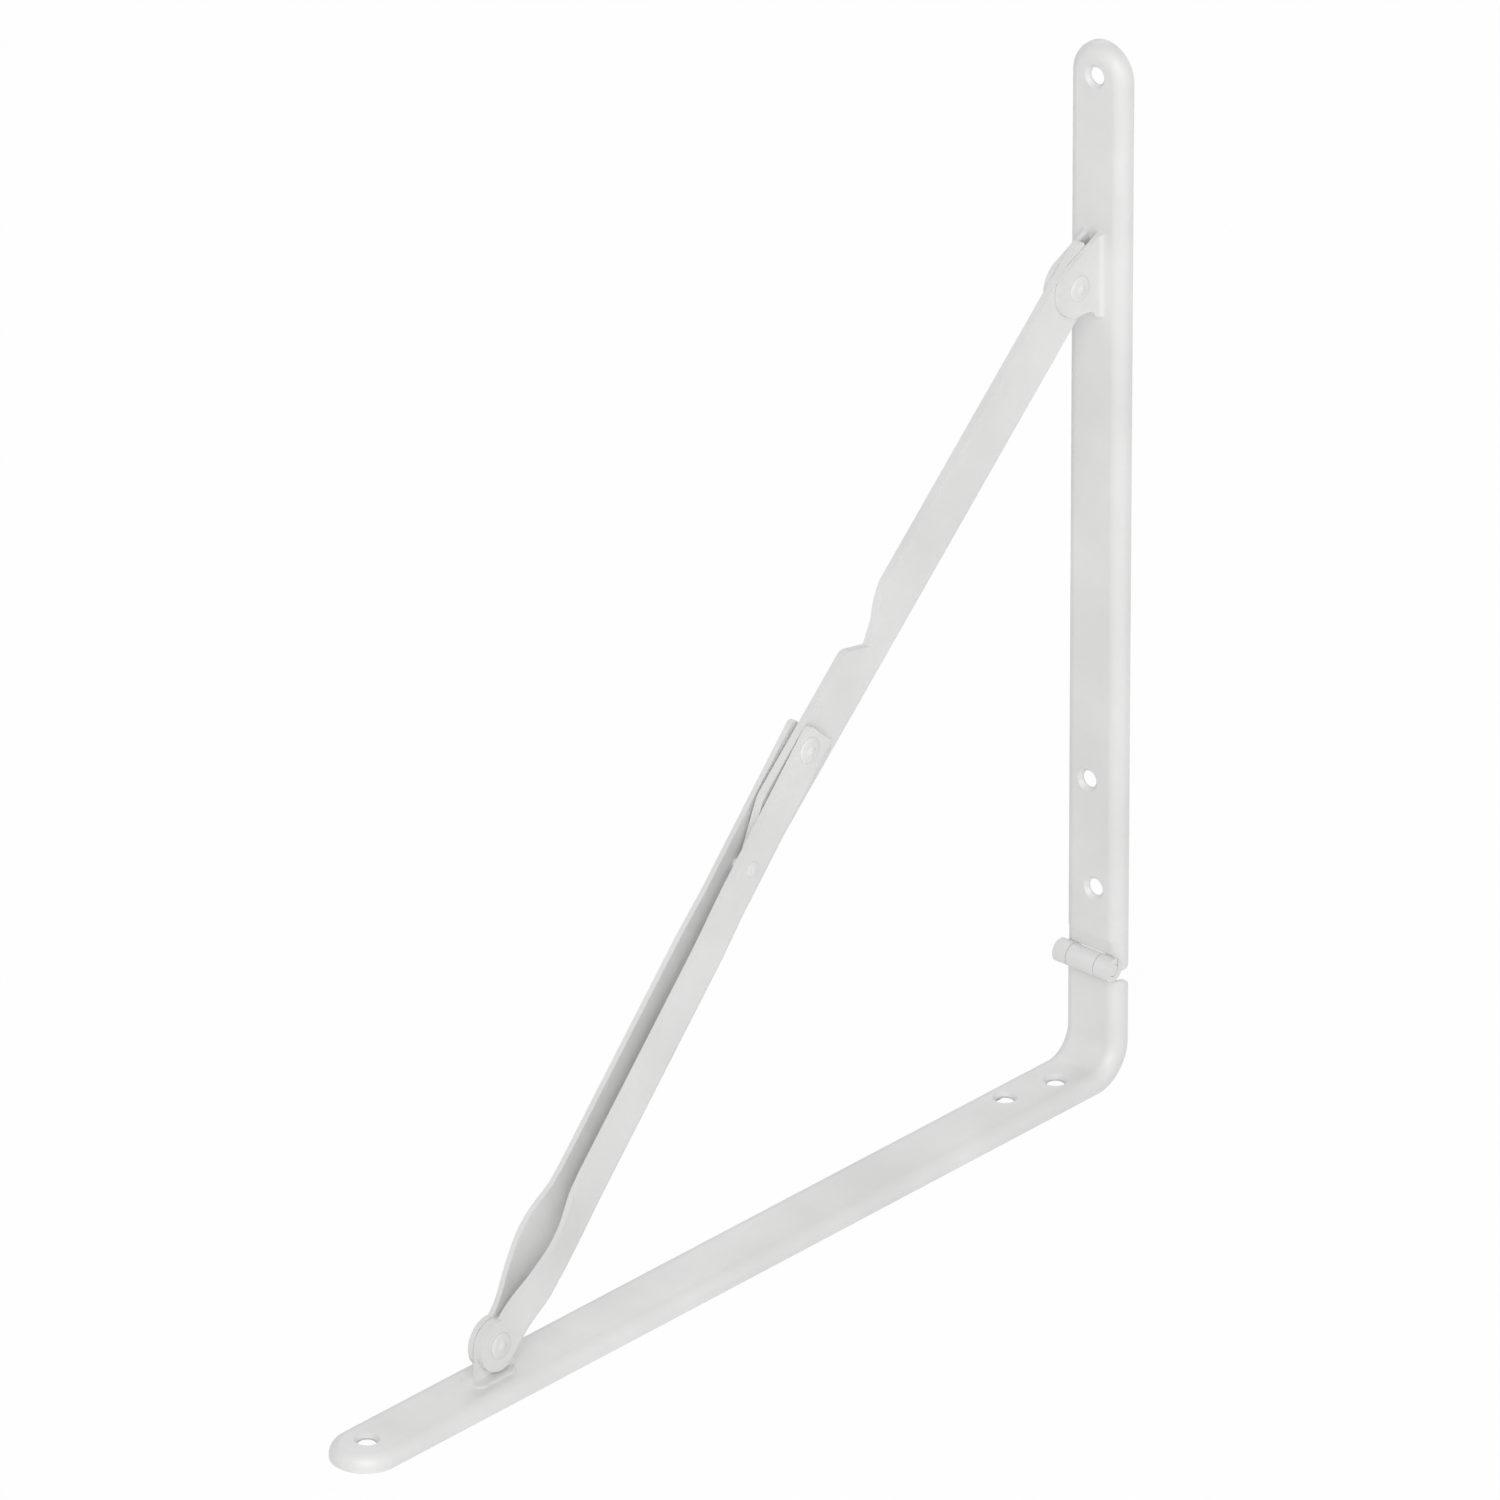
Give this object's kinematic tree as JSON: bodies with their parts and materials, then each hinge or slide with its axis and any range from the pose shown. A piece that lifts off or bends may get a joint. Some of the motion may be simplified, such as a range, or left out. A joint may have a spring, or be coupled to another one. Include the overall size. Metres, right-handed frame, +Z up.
{
  "type": "folding shelf bracket",
  "caption": "White pressed-steel folding shelf bracket: channel legs at a right angle on a rolled hinge, held by a jointed over-centre strut.",
  "frame": {"origin": "middle of the shelf leg's back face, on the mid-plane", "axes": "+Z up from the shelf face towards the wall leg's end, +X towards the wall face, Y across the legs"},
  "size_m": [0.296, 0.0188, 0.3],
  "materials": {
    "painted_steel": "satin white powder coat",
    "painted_rivet": "satin white powder coat over rivet heads",
    "pin_steel": "satin white powder coat over pin ends"
  },
  "bodies": {
    "shelf_leg": {"shelf_leg": "painted_steel", "hinge_pin": "pin_steel"},
    "lower_strut": {"lower_strut": "painted_steel", "knee_rivet": "painted_rivet", "shelf_ear_rivet": "painted_rivet", "stop_rivet": "painted_rivet"},
    "upper_strut": {"upper_strut": "painted_steel"},
    "wall_leg": {"wall_leg": "painted_steel", "wall_ear_rivet": "painted_rivet", "hinge_pin_ends": "pin_steel"}
  },
  "joints": [
    {"name": "lower_strut_pivot", "type": "hinge", "parent": "shelf_leg", "child": "lower_strut", "pos_m": [-0.09, 0, 0.0133], "axis": [0, 1, 0], "range_deg": [0, 46.7]},
    {"name": "knee", "type": "hinge", "parent": "lower_strut", "child": "upper_strut", "pos_m": [0.02794, 0, 0.14068], "axis": [0, -1, 0], "range_deg": [0, 180.58]},
    {"name": "wall_leg_pivot", "type": "hinge", "parent": "upper_strut", "child": "wall_leg", "pos_m": [0.1345, 0, 0.2344], "axis": [0, 1, 0], "range_deg": [0, 43.87]}
  ],
  "couplings": [
    {"joint": "knee", "follows": "lower_strut_pivot", "ratio": 3.866},
    {"joint": "wall_leg_pivot", "follows": "lower_strut_pivot", "ratio": 0.93894}
  ]
}
